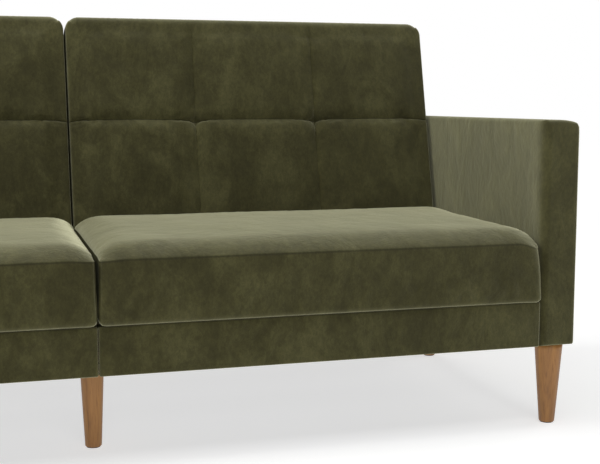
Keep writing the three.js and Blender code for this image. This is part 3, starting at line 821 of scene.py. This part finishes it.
def leg(node):
    """A turned, tapered leg with a slightly eased foot, round in section."""
    low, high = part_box(node)
    centre = ((low.x + high.x) / 2, (low.y + high.y) / 2)
    top_radius = (high.x - low.x) / 2
    mesh_points = frame["nodes"][node].data.vertices
    foot_radius = max(math.hypot(p.co.x - centre[0], p.co.y - centre[1])
                      for p in mesh_points if p.co.z < low.z + 0.003)
    height = high.z - low.z
    profile = [(foot_radius - LEG_EASE, 0.0)]
    for k in range(1, 5):
        turn = k * math.pi / 8
        radius = foot_radius - LEG_EASE * (1 - math.sin(turn))
        profile.append((radius, LEG_EASE * (1 - math.cos(turn))))
    for k in range(1, 13):
        share = k / 12
        radius = foot_radius + (top_radius - foot_radius) * share
        profile.append((radius, LEG_EASE + (height - LEG_EASE) * share))
    points, faces = [], []
    for radius, z in profile:
        for s in range(LEG_SIDES):
            turn = 2 * math.pi * s / LEG_SIDES
            x, y = centre[0] + radius * math.cos(turn), centre[1] + radius * math.sin(turn)
            points.append((x, y, low.z + z))
    rings = len(profile)
    for r in range(rings - 1):
        for s in range(LEG_SIDES):
            a, b = r * LEG_SIDES + s, r * LEG_SIDES + (s + 1) % LEG_SIDES
            faces.append((a, b, b + LEG_SIDES, a + LEG_SIDES))
    faces.append(tuple(reversed(range(LEG_SIDES))))
    faces.append(tuple(range((rings - 1) * LEG_SIDES, rings * LEG_SIDES)))
    mesh = bpy.data.meshes.new(f"{node}_turned")
    mesh.from_pydata(points, [], faces)
    mesh.polygons.foreach_set("use_smooth", [len(p.vertices) == 4 for p in mesh.polygons])
    mesh.materials.append(LEG_WOOD)
    piece = bpy.data.objects.new(f"{node}_turned", mesh)
    bpy.context.scene.collection.objects.link(piece)
    dress(piece, "base", "leg_wood", node)


# ---------------------------------------------------------------------------------------
# CAD pieces that keep their own meshes
# ---------------------------------------------------------------------------------------

def finish_cad_nodes():
    """Gives every CAD node the material of its slot, also where a piece stands for it."""
    by_slot = {
        "timber": TIMBER,
        "plywood": PLYWOOD,
        "zinc_plated_steel": STEEL,
        "dust_cloth": DUST_CLOTH,
        "nylon": NYLON,
        "velvet": VELVET,
        "leg_wood": LEG_WOOD,
    }
    for row in frame["record"]["subparts"]:
        mesh = frame["nodes"][row["node"]].data
        mesh.materials.clear()
        mesh.materials.append(by_slot[row["material_slot"]])


# ---------------------------------------------------------------------------------------
# Studio
# ---------------------------------------------------------------------------------------

CAMERA_X, CAMERA_Z = -0.1925, 0.6772
CAMERA_BEFORE_ARM = 1.985     # in front of the arms' front face
CAMERA_YAW = 16.2             # degrees to the right of straight ahead
CAMERA_PITCH = 6.8            # degrees down
CAMERA_LENS = 65.5
FLOOR_HALF = 14.0


def camera():
    """The photograph's view: level with the backs, from in front of the left half."""
    data = bpy.data.cameras.new("camera")
    data.lens = CAMERA_LENS
    data.sensor_width = 36.0
    data.clip_start, data.clip_end = 0.05, 60.0
    item = bpy.data.objects.new("camera", data)
    arm_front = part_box("right_arm_cover")[0].y
    item.location = (CAMERA_X, arm_front - CAMERA_BEFORE_ARM, CAMERA_Z)
    yaw, pitch = math.radians(CAMERA_YAW), math.radians(CAMERA_PITCH)
    ahead = Vector((math.sin(yaw) * math.cos(pitch), math.cos(yaw) * math.cos(pitch), -math.sin(pitch)))
    item.rotation_mode = "QUATERNION"
    item.rotation_quaternion = ahead.to_track_quat("-Z", "Y")
    bpy.context.scene.collection.objects.link(item)
    bpy.context.scene.camera = item


def floor():
    """A plain pale floor."""
    corners = [(x * FLOOR_HALF, y * FLOOR_HALF, 0) for x, y in ((-1, -1), (1, -1), (1, 1), (-1, 1))]
    mesh = bpy.data.meshes.new("floor")
    mesh.from_pydata(corners, [], [(0, 1, 2, 3)])
    mesh.materials.append(floor_material())
    item = bpy.data.objects.new("floor", mesh)
    bpy.context.scene.collection.objects.link(item)


def softbox(name, place_at, aim, size, power):
    """A rectangular area light, in metres and watts."""
    data = bpy.data.lights.new(name, "AREA")
    data.shape = "RECTANGLE"
    data.size, data.size_y = size
    data.energy = power
    item = bpy.data.objects.new(name, data)
    item.location = place_at
    item.rotation_mode = "QUATERNION"
    item.rotation_quaternion = (Vector(aim) - Vector(place_at)).to_track_quat("-Z", "Y")
    bpy.context.scene.collection.objects.link(item)


# Softboxes: name, place, aim, size and power.
LIGHTS = [
    ("overhead", (0.5, -1.2, 3.2), (0.4, 0.1, 0.4), (2.6, 1.6), 35.0),
    ("front", (0.2, -4.0, 1.6), (0.2, 0.0, 0.4), (2.6, 1.6), 31.0),
    ("left", (-2.4, 0.2, 2.8), (0.4, 0.0, 0.4), (1.8, 1.8), 125.0),
    ("right", (3.2, 0.6, 2.0), (0.98, 0.0, 0.3), (1.8, 1.8), 12.0),
    ("rear", (0.0, 4.0, 1.6), (0.0, 0.4, 0.4), (2.6, 1.6), 30.0),
]
WORLD = 0.0                   # what the surroundings add to the softboxes and the floor


def studio():
    """Softboxes, and surroundings that look white and give the light of WORLD."""
    world = bpy.data.worlds.new("studio")
    world.use_nodes = True
    nodes, links = world.node_tree.nodes, world.node_tree.links
    backdrop = nodes["Background"]
    fill = nodes.new("ShaderNodeBackground")
    fill.inputs["Color"].default_value = (1, 1, 1, 1)
    fill.inputs["Strength"].default_value = WORLD
    backdrop.inputs["Color"].default_value = (1, 1, 1, 1)
    backdrop.inputs["Strength"].default_value = 1.0
    path = nodes.new("ShaderNodeLightPath")
    mix = nodes.new("ShaderNodeMixShader")
    links.new(path.outputs["Is Camera Ray"], mix.inputs[0])
    links.new(fill.outputs[0], mix.inputs[1])
    links.new(backdrop.outputs[0], mix.inputs[2])
    links.new(mix.outputs[0], nodes["World Output"].inputs["Surface"])
    bpy.context.scene.world = world
    for name, place_at, aim, size, power in LIGHTS:
        softbox(name, place_at, aim, size, power)
    bpy.context.scene.view_settings.view_transform = "Standard"


# ---------------------------------------------------------------------------------------
# The sofa bed
# ---------------------------------------------------------------------------------------

camera()
floor()
studio()
finish_cad_nodes()
for side_name, side in SIDES.items():
    seat_cushion(side_name, side)
    back_cushion(side_name, side)
    back_rear_cover(side_name, side)
    arm_cover(side_name, side)
    rail_cover(side_name, side, "front", -1)
    rail_cover(side_name, side, "rear", 1)
for node_name in frame["nodes"]:
    if node_name.endswith("_leg"):
        leg(node_name)
